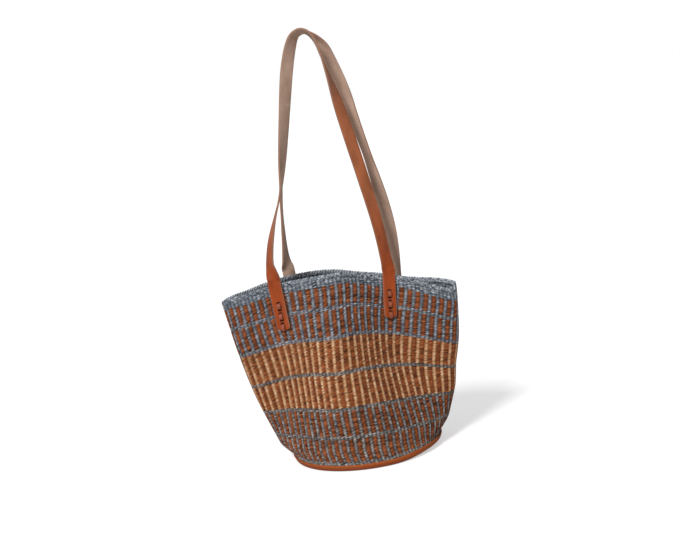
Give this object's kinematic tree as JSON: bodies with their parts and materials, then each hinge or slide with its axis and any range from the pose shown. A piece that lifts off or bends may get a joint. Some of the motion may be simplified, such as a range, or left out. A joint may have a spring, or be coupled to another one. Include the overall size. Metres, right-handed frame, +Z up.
{
  "type": "kiondo basket",
  "caption": "Twined sisal bag with a long narrow mouth, a round leather base, and long leather straps that are laced to the walls and swing outwards.",
  "frame": {"origin": "on the surface that the basket stands on, under the middle of its mouth", "axes": "+Z up through the mouth and the straps, +X to the right along the mouth, and the front, whose wall is pressed in to the right of its middle, faces -Y"},
  "size_m": [0.3818, 0.2447, 0.6878],
  "materials": {
    "blue_sisal": "matte twined sisal, dyed blue-grey",
    "rust_and_blue_sisal": "matte twined sisal in rust and blue-grey columns",
    "rust_and_natural_sisal": "matte twined sisal in rust and natural columns",
    "natural_sisal": "matte twined sisal, undyed",
    "strap_leather": "vegetable-tanned, smooth grain outside and suede flesh side inside",
    "thong_leather": "narrow flat thong, smooth grain",
    "base_leather": "thick tan leather, slightly scuffed"
  },
  "bodies": {
    "root": {"rim_braid": "blue_sisal", "rim_band": "blue_sisal", "upper_band_a": "rust_and_blue_sisal", "blue_row_1": "blue_sisal", "upper_band_b": "rust_and_blue_sisal", "blue_row_2": "blue_sisal", "middle_band_a": "rust_and_natural_sisal", "blue_row_3": "blue_sisal", "middle_band_b": "rust_and_natural_sisal", "blue_row_4": "blue_sisal", "lower_band_a": "rust_and_blue_sisal", "blue_row_5": "blue_sisal", "lower_band_b": "rust_and_blue_sisal", "bottom_blue_row": "blue_sisal", "woven_floor": "natural_sisal", "leather_base": "base_leather", "front_left_strap_end": "strap_leather", "front_right_strap_end": "strap_leather", "back_left_strap_end": "strap_leather", "back_right_strap_end": "strap_leather", "front_left_lacing": "thong_leather", "front_right_lacing": "thong_leather", "back_left_lacing": "thong_leather", "back_right_lacing": "thong_leather"},
    "front_strap": {"front_strap": "strap_leather"},
    "back_strap": {"back_strap": "strap_leather"}
  },
  "joints": [
    {"name": "front_strap_swing", "type": "hinge", "parent": "root", "child": "front_strap", "pos_m": [-0.00721, -0.02477, 0.29275], "axis": [0.9841, 0.144, -0.1039], "range_deg": [0, 130]},
    {"name": "back_strap_swing", "type": "hinge", "parent": "root", "child": "back_strap", "pos_m": [0.00955, 0.03969, 0.29327], "axis": [-0.9908, 0.0116, 0.1345], "range_deg": [0, 130]}
  ]
}
